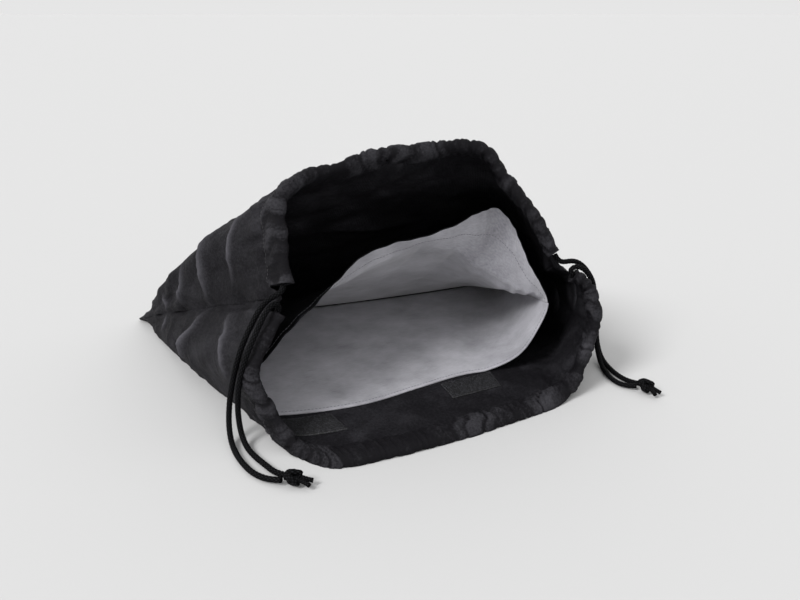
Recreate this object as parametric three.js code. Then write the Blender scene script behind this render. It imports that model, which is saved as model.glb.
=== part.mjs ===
// Drawstring helmet bag, lying open on its lower panel, with a lined inner pouch.
// Units are millimetres, +Z is up, the mouth faces -Y and the bottom seam lies at +Y.
// The origin is on the floor, midway between the bottom corners, under the lower lip.

import * as THREE from 'three';

// The bag's own sizes.
const bagWidth = 450;         // flat width, from side seam to side seam
const bagLength = 330;        // flat length, from the bottom seam to the lip
const mouthRise = 221;        // height of the upper lip as the bag lies open
const clothWall = 1.6;        // polyester shell with its coating and seam allowance
const seamGap = 0.3;          // clearance between pieces that are sewn or laid together
const seamFold = 0.4;         // half the space left between two layers inside a bottom seam
const bottomBow = 0.05;       // how far the bottom seam bows forward, as a share of the length
const cornerTurn = 2.5;       // distance from a bottom corner over which the seam's folds turn up
const seamGroove = 4;         // depth of the pinched side seams
const seamGrooveWidth = 0.3;  // half width of that groove, in rows of the mouth table
const seamGrooveEnd = 0.82;   // station at which that groove has run out
const seamPinches = 5.4;      // waves of that groove from the lip to the bottom seam
const seamPinchShare = 0.35;  // how much deeper the groove is in a wave
const settleHeight = 0.5;     // cloth lower than this lies flat on what is under it

// The drawcord channel round the mouth.
const hemWidth = 24;          // from the lip back to the stitched edge
const hemWall = 1.1;
const hemSeam = 0.6;          // clearance along the stitched edge, where both sides are folded
const cordDiameter = 4.6;
const cordSlack = 0.5;        // clearance round the cord inside the channel
const hemThickness = cordDiameter + 2 * (cordSlack + hemWall);
const gatherHeight = 2.4;     // how far the gathers stand out
const gathersPerRow = 1.26;   // gathers from row to row of the mouth table
const finerGathers = 1.68;    // finer gathers between them, as a multiple of those
const exitAbove = 0.30;       // cord exits, above and below the side seam, in rows of the mouth
const exitBelow = 0.34;

// The inner pouch.
const pouchWall = 1.2;
const pouchEnd = 0.945;       // its bottom seam, as a share of the bag's length

// The two hook strips in front of the pouch.
const hookWidth = 46;
const hookLength = 29;
const hookThickness = 1.5;

// The free cord ends.
const knotLength = 15;
const knotDiameter = 12.4;
const tailLength = 9;         // the frayed ends past the knot
const cordSides = 8;

// The mouth, from the left cord exit down round the floor to the right exit, and back over the top.
// x is a share of bagWidth, y of bagLength and z of mouthRise. foot is where the straight grain of
// the cloth ends on the bottom seam, as a share of bagWidth, and puff is how far the panel stands
// out halfway back, as a share of mouthRise.
const mouthRows = [
  { x: -0.272, y: 0.127, z: 0.507, foot: -0.500, puff: 0.030 },  // 0, left cord exit
  { x: -0.314, y: 0.094, z: 0.380, foot: -0.492, puff: 0.030 },
  { x: -0.343, y: 0.061, z: 0.250, foot: -0.485, puff: 0.035 },
  { x: -0.322, y: 0.027, z: 0.122, foot: -0.478, puff: 0.045 },
  { x: -0.288, y: -0.030, z: 0.020, foot: -0.468, puff: 0.040 },
  { x: -0.233, y: -0.112, z: 0.000, foot: -0.445, puff: 0.000 },
  { x: -0.133, y: -0.118, z: 0.000, foot: -0.290, puff: 0.000 },
  { x: -0.022, y: -0.101, z: 0.000, foot: -0.080, puff: 0.000 },
  { x: 0.100, y: -0.070, z: 0.000, foot: 0.145, puff: 0.000 },
  { x: 0.211, y: -0.033, z: 0.000, foot: 0.350, puff: 0.000 },
  { x: 0.280, y: 0.003, z: 0.030, foot: 0.460, puff: 0.030 },
  { x: 0.325, y: 0.033, z: 0.140, foot: 0.474, puff: 0.040 },
  { x: 0.355, y: 0.066, z: 0.280, foot: 0.483, puff: 0.035 },
  { x: 0.351, y: 0.100, z: 0.410, foot: 0.492, puff: 0.030 },
  { x: 0.298, y: 0.127, z: 0.511, foot: 0.500, puff: 0.030 },    // 14, right cord exit
  { x: 0.251, y: 0.176, z: 0.692, foot: 0.492, puff: 0.035 },
  { x: 0.196, y: 0.212, z: 0.848, foot: 0.482, puff: 0.050 },
  { x: 0.158, y: 0.242, z: 0.972, foot: 0.450, puff: 0.060 },
  { x: 0.110, y: 0.255, z: 1.000, foot: 0.320, puff: 0.065 },
  { x: 0.000, y: 0.249, z: 0.982, foot: 0.060, puff: 0.060 },
  { x: -0.133, y: 0.242, z: 0.950, foot: -0.240, puff: 0.060 },
  { x: -0.216, y: 0.230, z: 0.910, foot: -0.440, puff: 0.085 },
  { x: -0.259, y: 0.209, z: 0.824, foot: -0.482, puff: 0.080 },
  { x: -0.264, y: 0.170, z: 0.670, foot: -0.492, puff: 0.050 },
];
const leftExitRow = 0;
const rightExitRow = 14;
const rowCount = mouthRows.length;
const rowSteps = 3;           // steps from row to row, the same in panels and hem, whose edges meet
const panelSteps = 11;        // steps from the hem to the bottom seam
const panelCrowding = 1.1;    // above 1 those steps are shorter towards the front
const panelSeamRow = 0.18;    // a panel's first row beside its seam

// Creases pressed into the cloth. Each runs from one row and station to another, where a station
// is the share of the way from the lip to the bottom seam. rise and width are shares of bagLength.
const creases = [
  { fromRow: 21.2, toRow: 24.0, fromStation: 0.33, toStation: 0.40, rise: 0.018, width: 0.050 },
  { fromRow: 21.6, toRow: 24.0, fromStation: 0.50, toStation: 0.55, rise: 0.012, width: 0.045 },
  { fromRow: 0.0, toRow: 3.0, fromStation: 0.38, toStation: 0.52, rise: 0.015, width: 0.050 },
  { fromRow: 1.5, toRow: 4.0, fromStation: 0.62, toStation: 0.40, rise: -0.012, width: 0.050 },
  { fromRow: 14.0, toRow: 17.0, fromStation: 0.42, toStation: 0.34, rise: 0.010, width: 0.050 },
  { fromRow: 11.0, toRow: 14.0, fromStation: 0.36, toStation: 0.50, rise: 0.010, width: 0.050 },
  { fromRow: 18.0, toRow: 21.0, fromStation: 0.52, toStation: 0.46, rise: -0.016, width: 0.090 },
];

// The pouch's lip, from its left corner along the floor to its right corner, and back over the
// divider. x, y, z and foot are as above. At the share back of the way to the bottom seam the
// divider lies lower than a straight line by drop, a share of mouthRise: its rolled edge and the
// flap at the right stand up in front of that fold.
const pouchRows = [
  { x: -0.333, y: 0.227, z: 0.150, foot: -0.440, drop: 0.000, back: 0.06 },  // 0, left corner
  { x: -0.311, y: 0.190, z: 0.060, foot: -0.435, drop: 0.000, back: 0.06 },
  { x: -0.282, y: 0.170, z: 0.000, foot: -0.420, drop: 0.000, back: 0.06 },
  { x: -0.200, y: 0.152, z: 0.000, foot: -0.330, drop: 0.000, back: 0.06 },
  { x: -0.107, y: 0.155, z: 0.000, foot: -0.200, drop: 0.000, back: 0.06 },
  { x: 0.007, y: 0.194, z: 0.000, foot: 0.000, drop: 0.000, back: 0.06 },
  { x: 0.111, y: 0.227, z: 0.000, foot: 0.200, drop: 0.000, back: 0.06 },
  { x: 0.182, y: 0.225, z: 0.010, foot: 0.330, drop: 0.000, back: 0.06 },
  { x: 0.238, y: 0.212, z: 0.068, foot: 0.410, drop: 0.000, back: 0.06 },
  { x: 0.280, y: 0.224, z: 0.155, foot: 0.430, drop: 0.000, back: 0.06 },
  { x: 0.313, y: 0.245, z: 0.267, foot: 0.440, drop: 0.000, back: 0.06 },    // 10, right corner
  { x: 0.300, y: 0.262, z: 0.350, foot: 0.434, drop: 0.050, back: 0.06 },
  { x: 0.282, y: 0.285, z: 0.430, foot: 0.430, drop: 0.130, back: 0.07 },
  { x: 0.263, y: 0.312, z: 0.540, foot: 0.415, drop: 0.230, back: 0.08 },
  { x: 0.247, y: 0.338, z: 0.625, foot: 0.390, drop: 0.290, back: 0.08 },
  { x: 0.218, y: 0.352, z: 0.674, foot: 0.330, drop: 0.300, back: 0.08 },
  { x: 0.187, y: 0.350, z: 0.665, foot: 0.260, drop: 0.250, back: 0.08 },
  { x: 0.133, y: 0.338, z: 0.630, foot: 0.150, drop: 0.100, back: 0.07 },
  { x: 0.056, y: 0.328, z: 0.588, foot: 0.020, drop: 0.020, back: 0.06 },
  { x: -0.010, y: 0.326, z: 0.575, foot: -0.080, drop: 0.055, back: 0.05 },
  { x: -0.086, y: 0.316, z: 0.530, foot: -0.190, drop: 0.075, back: 0.05 },
  { x: -0.142, y: 0.295, z: 0.450, foot: -0.270, drop: 0.020, back: 0.05 },
  { x: -0.190, y: 0.274, z: 0.375, foot: -0.340, drop: 0.000, back: 0.06 },
  { x: -0.249, y: 0.252, z: 0.290, foot: -0.400, drop: 0.000, back: 0.06 },
  { x: -0.300, y: 0.235, z: 0.190, foot: -0.432, drop: 0.000, back: 0.06 },
];
const pouchLeftRow = 0;
const pouchRightRow = 10;
const pouchRowSteps = 2;
const pouchSeamRow = 0.25;    // a layer's first row beside its seam

// Stations from the pouch's lip to its bottom seam. The divider has more where it folds.
const layerStations = [0, 0.25, 0.5, 0.75, 1];
const dividerStations = [0, 0.025, 0.05, 0.08, 0.14, 0.25, 0.45, 0.7, 1];

// The hook strips, by the row of the mouth table that their middle lies on and the station of
// their back edge, just in front of the pouch.
const hookStrips = [
  { name: 'hook_strip_left', row: 5.30, station: 0.235 },
  { name: 'hook_strip_right', row: 8.02, station: 0.270 },
];

// Routes of the four free cord strands, in millimetres, from the channel to the knot.
const cordRoutes = {
  cord_left_outer: [
    [-118.4, 52.5, 118.2], [-118.9, 51.2, 114.8], [-121.6, 50.3, 112.0], [-126.2, 49.8, 110.8],
    [-131.8, 49.2, 108.4], [-137.6, 47.6, 103.6], [-143.3, 45.6, 96.4], [-149.8, 43, 86.5],
    [-156, 41, 75], [-161.2, 40.2, 61.5], [-164.7, 40, 48.5], [-168, 39.8, 34.5],
    [-170, 38.4, 22.5], [-171.4, 33.8, 12.5], [-171.8, 25.5, 5], [-171.5, 15, 2.8],
    [-170.5, 3, 2.6], [-168, -11, 2.6], [-163.5, -25.5, 2.7], [-156, -37, 3.1],
    [-146.4, -45.0, 4.6],
  ],
  cord_left_inner: [
    [-126.5, 44.6, 98.0], [-124.1, 45.4, 101.2], [-123.8, 44.9, 104.9], [-126.6, 43.2, 107.2],
    [-131.2, 40.9, 106.6], [-136, 38.2, 102.4], [-141, 35.4, 95.5], [-148.2, 31.2, 84],
    [-155.6, 28.6, 70], [-160.9, 28, 54], [-163.6, 28.4, 37.5], [-164.2, 28.4, 22.5],
    [-163.8, 24, 11], [-162.4, 16.5, 4.6], [-160.6, 7, 2.8], [-157.4, -5, 2.6],
    [-153, -17.5, 2.7], [-148.2, -30.5, 3.1], [-142.4, -39.6, 4.6],
  ],
  cord_right_outer: [
    [126.2, 52.2, 118.4], [127.7, 50.9, 114.6], [130.8, 50.6, 111.6], [135.8, 51.4, 110.4],
    [141.6, 52.2, 110.6], [147.4, 52.6, 110], [153.2, 52.6, 107.2], [159.2, 52.8, 102],
    [165.2, 53.8, 95], [171.4, 56, 86], [176.2, 59, 73], [180.7, 62.5, 59], [185, 66, 44],
    [189, 69, 29.5], [191.8, 69.4, 16.5], [192.5, 65, 7.2], [191, 56, 3.4], [188.5, 45, 2.7],
    [186.4, 32, 2.6], [186, 20, 2.6], [187.6, 9.0, 3.1], [191.2, -0.8, 4.6],
  ],
  cord_right_inner: [
    [141.6, 44.8, 99.8], [139.2, 45.4, 101.4], [138.4, 45.6, 104.2], [141.2, 45.3, 106.9],
    [146.4, 44.7, 107.3], [152.2, 44.4, 104.5], [158.6, 45, 98], [165, 47.2, 89],
    [170.4, 50.8, 78], [175, 54.6, 64], [179.2, 58.2, 49], [182.8, 60.8, 34], [185.2, 61.2, 19.5],
    [186, 57.6, 9], [184.4, 50.6, 4], [181.6, 41.5, 2.7], [178.4, 31, 2.6], [176.2, 20.5, 2.6],
    [176.4, 10.5, 2.7], [180.2, 2, 3.1], [186, -3.6, 4.6],
  ],
};

// Each knot ties the two strands of one side. centre is its middle, and heading points from the
// strands to the frayed tail.
const knots = [
  { name: 'knot_left', centre: [-138.3, -47.0, 6.5], heading: [0.80, -0.60, 0] },
  { name: 'knot_right', centre: [191.8, -9.2, 6.5], heading: [0.20, -0.98, 0] },
];

// Colours, roughness and metalness of the cloth, the lining, the hook tape and the cord.
const finishes = {
  shell: { color: 0x2b2a2e, roughness: 0.8, metalness: 0 },
  hem: { color: 0x343337, roughness: 0.75, metalness: 0 },
  lining: { color: 0xa9a9ae, roughness: 0.85, metalness: 0 },
  hook: { color: 0x1c1c1e, roughness: 0.95, metalness: 0 },
  cord: { color: 0x151517, roughness: 0.7, metalness: 0 },
};

// The direction in which the mouth's plane faces into the bag.
const mouthAxis = new THREE.Vector3(0, 0.93, -0.37).normalize();

const bag = makeShell(mouthRows, {
  width: bagWidth, length: bagLength, rise: mouthRise, end: 1, bow: bottomBow, tip: clothWall + seamFold,
  floor: 0, rightRow: rightExitRow,
});
const pouch = makeShell(pouchRows, {
  width: bagWidth, length: bagLength, rise: mouthRise, end: pouchEnd, bow: bottomBow,
  tip: pouchWall + seamFold, floor: clothWall + seamGap, rightRow: pouchRightRow,
});

// A closed curve through the rows of a mouth table, with the tables' other columns beside it.
function makeShell(rows, size) {
  const points = rows.map((row) => new THREE.Vector3(
    row.x * size.width, row.y * size.length, size.floor + row.z * (size.rise - size.floor)));
  const curve = new THREE.CatmullRomCurve3(points, true, 'centripetal');
  return { rows, size, curve };
}

// The value of a table column between two rows.
function columnAt(rows, name, row) {
  const whole = Math.floor(row);
  const share = row - whole;
  const a = rows[((whole % rows.length) + rows.length) % rows.length][name];
  const b = rows[(((whole + 1) % rows.length) + rows.length) % rows.length][name];
  return a + (b - a) * share;
}

function curveShare(shell, row) {
  const count = shell.rows.length;
  return (((row % count) + count) % count) / count;
}

// The direction from the cloth into the bag, which turns from the lip's to the bottom seam's.
function inwardAt(shell, row, station) {
  const tangent = shell.curve.getTangent(curveShare(shell, row));
  const atLip = tangent.cross(mouthAxis).normalize();
  const atSeam = new THREE.Vector3(atLip.x, 0, atLip.z).normalize();
  const inward = atLip.lerp(atSeam, station).normalize();
  return inward.lerp(inwardAtBottom(shell, row), Math.pow(station, 6)).normalize();
}

// Along the bottom seam each layer faces the other, and at its corners the cloth turns round.
function inwardAtBottom(shell, row) {
  const { width, rightRow } = shell.size;
  const foot = columnAt(shell.rows, 'foot', row);
  const corner = Math.abs(shell.rows[0].foot);
  const turned = Math.exp(-Math.pow((corner - Math.abs(foot)) * width / cornerTurn, 2));
  const lower = curveShare(shell, row) * shell.rows.length < rightRow;
  const up = Math.sqrt(1 - turned * turned) * (lower ? 1 : -1);
  return new THREE.Vector3(-Math.sign(foot) * turned, 0, up);
}

// The end of a grain line on the bottom seam, for cloth at a depth below the outer face.
function footAt(shell, row, depth) {
  const { width, length, end, bow, tip, floor } = shell.size;
  const foot = columnAt(shell.rows, 'foot', row);
  const side = Math.min(1, Math.abs(2 * foot));
  const inward = inwardAt(shell, row, 1);
  const centre = new THREE.Vector3(foot * width, length * (end - bow * (1 - side * side)), floor + tip);
  return centre.addScaledVector(inward, depth - tip);
}

// How far the cloth stands out of its straight grain lines at a row and station.
function bagRelief(row, station) {
  const puffShape = 4 * station * (1 - station) * (0.6 + 0.8 * station);
  let relief = columnAt(mouthRows, 'puff', row) * mouthRise * puffShape;
  for (const seamRow of [leftExitRow, rightExitRow, rowCount]) {
    const offset = (row - seamRow) / seamGrooveWidth;
    const pinch = 1 + seamPinchShare * Math.sin(2 * Math.PI * seamPinches * station);
    const fade = Math.sin(Math.PI * Math.sqrt(Math.min(1, station / seamGrooveEnd)));
    relief -= seamGroove * pinch * Math.exp(-offset * offset) * fade;
  }
  for (const crease of creases) {
    const along = (row - crease.fromRow) / (crease.toRow - crease.fromRow);
    if (along <= 0 || along >= 1) continue;
    const line = crease.fromStation + (crease.toStation - crease.fromStation) * along;
    const offset = (station - line) / crease.width;
    relief += crease.rise * bagLength * Math.sin(Math.PI * along) * Math.exp(-offset * offset);
  }
  return relief;
}

// A point of the bag's cloth, by row, station and depth below the outer face.
function bagPoint(row, station, depth) {
  const inward = inwardAt(bag, row, station);
  const lip = bag.curve.getPoint(curveShare(bag, row)).addScaledVector(inward, depth);
  const point = lip.lerp(footAt(bag, row, depth), station);
  point.addScaledVector(inward, -bagRelief(row, station));
  const lowest = depth * inward.z;
  if (inward.z > 0) point.z = lowest + settled(point.z - lowest);
  return point;
}

// Cloth that is held a little above a surface lies flat on it, and cloth beside it comes down to it.
function settled(height) {
  if (height < settleHeight) return 0;
  return Math.min(height, 1.5 * (height - settleHeight));
}

// A point of the pouch's cloth. Behind its fold the divider runs straight to the bottom seam.
function pouchPoint(row, station, depth) {
  const inward = inwardAt(pouch, row, station);
  const lip = pouch.curve.getPoint(curveShare(pouch, row)).addScaledVector(inward, depth);
  const point = lip.lerp(footAt(pouch, row, depth), station);
  const back = columnAt(pouchRows, 'back', row);
  const slope = station < back ? station / back : (1 - station) / (1 - back);
  point.z -= columnAt(pouchRows, 'drop', row) * mouthRise * slope;
  const lowest = pouch.size.floor + depth * inward.z;
  if (inward.z > 0) point.z = lowest + settled(point.z - lowest);
  return point;
}

// Rows from one end of a panel to the other, with one more beside each of its two seams.
function panelRows(from, to, perRow, nearSeam) {
  const rows = [];
  for (let k = 0; k <= (to - from) * perRow; k++) rows.push(from + k / perRow);
  rows.splice(1, 0, from + nearSeam);
  rows.splice(-1, 0, to - nearSeam);
  return rows;
}

// Stations from the front edge to the bottom seam, closer together towards the front.
function panelStations(front, count, crowding) {
  const stations = [];
  for (let i = 0; i <= count; i++) stations.push(front + (1 - front) * Math.pow(i / count, crowding));
  return stations;
}

// A closed mesh from a grid of points on the outer face and the same grid on the inner face.
function sheetGeometry(outer, inner) {
  const columns = outer.length;
  const count = outer[0].length;
  const faces = [outer, inner];
  const at = (face, i, j) => (face * columns + i) * count + j;
  const positions = faces.flat(2).flatMap((point) => [point.x, point.y, point.z]);
  const index = [];
  const quad = (a, b, c, d) => index.push(a, b, c, a, c, d);
  for (let i = 0; i + 1 < columns; i++) {
    for (let j = 0; j + 1 < count; j++) {
      quad(at(0, i, j), at(0, i, j + 1), at(0, i + 1, j + 1), at(0, i + 1, j));
      quad(at(1, i, j), at(1, i + 1, j), at(1, i + 1, j + 1), at(1, i, j + 1));
    }
    quad(at(0, i, 0), at(0, i + 1, 0), at(1, i + 1, 0), at(1, i, 0));
    quad(at(0, i, count - 1), at(1, i, count - 1), at(1, i + 1, count - 1), at(0, i + 1, count - 1));
  }
  for (let j = 0; j + 1 < count; j++) {
    quad(at(0, 0, j), at(1, 0, j), at(1, 0, j + 1), at(0, 0, j + 1));
    quad(at(0, columns - 1, j), at(0, columns - 1, j + 1), at(1, columns - 1, j + 1), at(1, columns - 1, j));
  }
  return facingOut(positions, index);
}

// A closed mesh round a row of closed sections, with an inner row of sections as its hollow. Both
// rows have the same number of corners.
function tubeGeometry(outerSections, innerSections) {
  const steps = outerSections.length;
  const sides = outerSections[0].length;
  const sections = [outerSections, innerSections];
  const positions = sections.flat(2).flatMap((point) => [point.x, point.y, point.z]);
  const index = [];
  const at = (face, i, k) => (face * steps + i) * sides + (k % sides);
  const quad = (a, b, c, d) => index.push(a, b, c, a, c, d);
  for (let k = 0; k < sides; k++) {
    for (let i = 0; i + 1 < steps; i++) {
      quad(at(0, i, k), at(0, i + 1, k), at(0, i + 1, k + 1), at(0, i, k + 1));
      quad(at(1, i, k), at(1, i, k + 1), at(1, i + 1, k + 1), at(1, i + 1, k));
    }
    quad(at(0, 0, k), at(0, 0, k + 1), at(1, 0, k + 1), at(1, 0, k));
    const last = steps - 1;
    quad(at(0, last, k), at(1, last, k), at(1, last, k + 1), at(0, last, k + 1));
  }
  return facingOut(positions, index);
}

// An indexed geometry whose faces all point out of the solid.
function facingOut(positions, index) {
  let volume = 0;
  const vertex = (k) => new THREE.Vector3().fromArray(positions, 3 * k);
  for (let k = 0; k < index.length; k += 3) {
    volume += vertex(index[k]).dot(vertex(index[k + 1]).cross(vertex(index[k + 2])));
  }
  if (volume < 0) index.reverse();
  const geometry = new THREE.BufferGeometry();
  geometry.setAttribute('position', new THREE.Float32BufferAttribute(positions, 3));
  geometry.setIndex(index);
  geometry.computeVertexNormals();
  return geometry;
}

// A point that is moved along the lip's direction, so that two panels leave a gap at their seam.
function shifted(point, shell, row, station, distance) {
  const inward = inwardAt(shell, row, station);
  const along = shell.curve.getTangent(curveShare(shell, row));
  along.addScaledVector(inward, -along.dot(inward)).normalize();
  return point.addScaledVector(along, distance);
}

// Both faces of a panel between two seams, as one closed mesh of the given wall.
function panelGeometry(shell, pointAt, rows, stations, wall) {
  const last = rows.length - 1;
  const face = (depth) => rows.map((row, i) => stations.map((station) => {
    const point = pointAt(row, station, depth);
    if (i === 0) return shifted(point, shell, row, station, 0.5 * seamGap);
    if (i === last) return shifted(point, shell, row, station, -0.5 * seamGap);
    return point;
  }));
  return sheetGeometry(face(0), face(wall));
}

// One panel of the bag, from the hem's stitched edge to the bottom seam.
function bagPanel(from, to) {
  const rows = panelRows(from, to, rowSteps, panelSeamRow);
  const stations = panelStations((hemWidth + hemSeam) / bagLength, panelSteps, panelCrowding);
  return panelGeometry(bag, bagPoint, rows, stations, clothWall);
}

// Distance along the lip from one row of a mouth table to the next.
function rowSpacing(shell, row) {
  const step = 0.1;
  const a = shell.curve.getPoint(curveShare(shell, row - step));
  const b = shell.curve.getPoint(curveShare(shell, row + step));
  return a.distanceTo(b) / (2 * step);
}

// Gathers: the drawn-up hem stands out in uneven folds.
function gatherAt(row) {
  const angle = 2 * Math.PI * gathersPerRow * row;
  const wave = Math.sin(angle) + 0.6 * Math.sin(finerGathers * angle + 1.2);
  return gatherHeight * (0.5 + 0.3 * wave);
}

// Outline of the hem's section as shares of its width and thickness, from the outer stitched edge
// round the lip to the inner stitched edge. fold is how much of the gathers a corner takes.
const hemOutline = [
  { across: 1.00, deep: 0.00, fold: 0.0 },
  { across: 0.62, deep: 0.00, fold: 0.5 },
  { across: 0.22, deep: 0.00, fold: 0.8 },
  { across: 0.00, deep: 0.30, fold: 0.6 },
  { across: 0.00, deep: 0.72, fold: 0.0 },
  { across: 0.20, deep: 1.00, fold: -0.8 },
  { across: 0.62, deep: 1.00, fold: -1.0 },
];

// Outline of the hollow in which the cord runs.
const channelOutline = [
  { across: 0.70, out: 0.25 },
  { across: 0.58, out: 0 },
  { across: 0.22, out: 0 },
  { across: 0.08, out: 0.30 },
  { across: 0.08, out: 0.70 },
  { across: 0.22, out: 1 },
  { across: 0.58, out: 1 },
  { across: 0.70, out: 0.75 },
];
const channelMiddle = 0.34;   // the cord's place across the hem

// Half of the drawcord channel: a flattened tube of cloth, open at both cord exits.
function hemHalf(from, to, exit) {
  const rows = hemRows(from, to, exit);
  const hemShare = hemWidth / bagLength;
  const outer = rows.map((row) => {
    const gather = gatherAt(row);
    const section = hemOutline.map(({ across, deep, fold }) => (
      bagPoint(row, across * hemShare, deep * hemThickness - fold * gather)));
    section.push(bagPoint(row, hemShare, clothWall));
    for (const point of section) point.z = Math.max(point.z, 0);
    return section;
  });
  const inner = rows.map((row) => channelOutline.map(({ across, out }) => (
    bagPoint(row, across * hemShare, hemWall + out * (hemThickness - 2 * hemWall)))));
  return tubeGeometry(outer, inner);
}

// Rows of half the hem, which ends short of the side seams to let the cords out.
function hemRows(from, to, exit) {
  const rows = [from + exit];
  for (let k = 1; k < (to - from) * rowSteps; k++) {
    const row = from + k / rowSteps;
    if (row > from + exit && row < to - exit) rows.push(row);
  }
  rows.push(to - exit);
  return rows;
}

// A round cord through a list of points, one straight step between each two.
function cordGeometry(points) {
  const section = new THREE.Shape();
  for (let k = 0; k < cordSides; k++) {
    const angle = 2 * Math.PI * (k + 0.5) / cordSides;
    const x = 0.5 * cordDiameter * Math.cos(angle);
    const y = 0.5 * cordDiameter * Math.sin(angle);
    if (k === 0) section.moveTo(x, y);
    else section.lineTo(x, y);
  }
  section.closePath();
  const path = new THREE.CatmullRomCurve3(points, false, 'centripetal');
  return new THREE.ExtrudeGeometry(section, { steps: points.length - 1, extrudePath: path });
}

// The cord's stretch inside half of the channel.
function channelCord(from, to, exit) {
  const rows = hemRows(from, to, exit);
  const depth = 0.5 * hemThickness;
  const across = channelMiddle * hemWidth / bagLength;
  const sections = rows.map((row) => {
    const centre = bagPoint(row, across, depth);
    const deep = inwardAt(bag, row, across);
    const wide = bagPoint(row, 2 * across, depth).sub(centre);
    wide.addScaledVector(deep, -wide.dot(deep)).normalize();
    return { centre, deep, wide };
  });
  return sectionTube(sections, 0.5 * cordDiameter);
}

// A solid tube from round sections given by their centre and two directions.
function sectionTube(sections, radius) {
  const positions = [];
  const index = [];
  for (const { centre, deep, wide } of sections) {
    for (let k = 0; k < cordSides; k++) {
      const angle = 2 * Math.PI * k / cordSides;
      const point = centre.clone()
        .addScaledVector(deep, radius * Math.cos(angle))
        .addScaledVector(wide, radius * Math.sin(angle));
      positions.push(point.x, point.y, point.z);
    }
  }
  const at = (i, k) => i * cordSides + (k % cordSides);
  for (let i = 0; i + 1 < sections.length; i++) {
    for (let k = 0; k < cordSides; k++) {
      index.push(at(i, k), at(i + 1, k), at(i + 1, k + 1), at(i, k), at(i + 1, k + 1), at(i, k + 1));
    }
  }
  const last = sections.length - 1;
  for (let k = 1; k + 1 < cordSides; k++) {
    index.push(at(0, 0), at(0, k), at(0, k + 1), at(last, 0), at(last, k + 1), at(last, k));
  }
  return facingOut(positions, index);
}

// One layer of the pouch, from its lip to its bottom seam.
function pouchPanel(from, to, stations) {
  const rows = panelRows(from, to, pouchRowSteps, pouchSeamRow);
  return panelGeometry(pouch, pouchPoint, rows, stations, pouchWall);
}

// A hook strip, sewn on the lower panel's inner face.
function hookStrip(strip) {
  const halfRows = 0.5 * hookWidth / rowSpacing(bag, strip.row);
  const stations = [strip.station - hookLength / bagLength, strip.station];
  const rows = [-1, -0.33, 0.33, 1].map((share) => strip.row + share * halfRows);
  const base = clothWall + seamGap;
  const face = (depth) => rows.map((row) => stations.map((station) => bagPoint(row, station, depth)));
  return sheetGeometry(face(base), face(base + hookThickness));
}

// A knot of both strands with its frayed tail, turned round its own axis.
function knotGeometry() {
  const radius = 0.5 * knotDiameter;
  const half = 0.5 * knotLength;
  const profile = [
    [0, -half], [0.62 * radius, -0.94 * half], [radius, -0.50 * half], [0.84 * radius, 0],
    [radius, 0.46 * half], [0.60 * radius, half], [0.50 * radius, 1.12 * half],
    [0.62 * radius, half + 0.55 * tailLength], [0.40 * radius, half + tailLength],
    [0, half + tailLength],
  ];
  return new THREE.LatheGeometry(profile.map(([x, y]) => new THREE.Vector2(x, y)), 10);
}

const bagGroup = new THREE.Group();
bagGroup.name = 'helmet_bag';

function addPiece(name, geometry, finish) {
  const mesh = new THREE.Mesh(geometry, new THREE.MeshStandardMaterial(finishes[finish]));
  mesh.name = name;
  bagGroup.add(mesh);
  return mesh;
}

addPiece('lower_panel', bagPanel(leftExitRow, rightExitRow), 'shell');
addPiece('upper_panel', bagPanel(rightExitRow, rowCount), 'shell');
addPiece('hem_lower', hemHalf(leftExitRow, rightExitRow, exitBelow), 'hem');
addPiece('hem_upper', hemHalf(rightExitRow, rowCount, exitAbove), 'hem');
addPiece('channel_cord_lower', channelCord(leftExitRow, rightExitRow, exitBelow), 'cord');
addPiece('channel_cord_upper', channelCord(rightExitRow, rowCount, exitAbove), 'cord');

addPiece('pouch_lower', pouchPanel(pouchLeftRow, pouchRightRow, layerStations), 'lining');
addPiece('pouch_upper', pouchPanel(pouchRightRow, pouchRows.length, dividerStations), 'lining');

for (const strip of hookStrips) addPiece(strip.name, hookStrip(strip), 'hook');

for (const [name, route] of Object.entries(cordRoutes)) {
  addPiece(name, cordGeometry(route.map((point) => new THREE.Vector3(...point))), 'cord');
}

for (const knot of knots) {
  const mesh = addPiece(knot.name, knotGeometry(), 'cord');
  mesh.position.set(...knot.centre);
  const heading = new THREE.Vector3(...knot.heading).normalize();
  mesh.quaternion.setFromUnitVectors(new THREE.Vector3(0, 1, 0), heading);
}

export default bagGroup;
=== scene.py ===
import math
import bpy
import numpy as np
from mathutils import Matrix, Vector


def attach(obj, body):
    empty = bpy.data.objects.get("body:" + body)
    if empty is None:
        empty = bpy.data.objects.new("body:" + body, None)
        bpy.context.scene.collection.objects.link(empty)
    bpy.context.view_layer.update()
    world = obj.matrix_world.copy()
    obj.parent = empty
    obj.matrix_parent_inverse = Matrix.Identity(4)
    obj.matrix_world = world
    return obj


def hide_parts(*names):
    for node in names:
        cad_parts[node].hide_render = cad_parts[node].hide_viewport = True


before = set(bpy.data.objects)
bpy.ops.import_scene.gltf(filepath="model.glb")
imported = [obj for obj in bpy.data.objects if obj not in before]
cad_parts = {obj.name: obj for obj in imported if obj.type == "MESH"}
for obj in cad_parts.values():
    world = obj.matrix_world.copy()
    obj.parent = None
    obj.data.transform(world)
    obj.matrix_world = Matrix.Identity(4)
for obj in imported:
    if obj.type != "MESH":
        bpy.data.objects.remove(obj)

scene = bpy.context.scene
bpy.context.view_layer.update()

# The camera
# It stands in front of the open mouth, a little to the left and above, and looks down on the bag.
camera_place = Vector((-0.2329, -0.5318, 0.3196))
camera_heading = Vector((0.3214, 0.8830, -0.3420))
camera_data = bpy.data.cameras.new("camera")
camera_data.lens = 35.4
camera_data.sensor_width = 36.0
camera_data.clip_start = 0.01
camera_data.clip_end = 2000.0
camera = bpy.data.objects.new("camera", camera_data)
camera.location = camera_place
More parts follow.
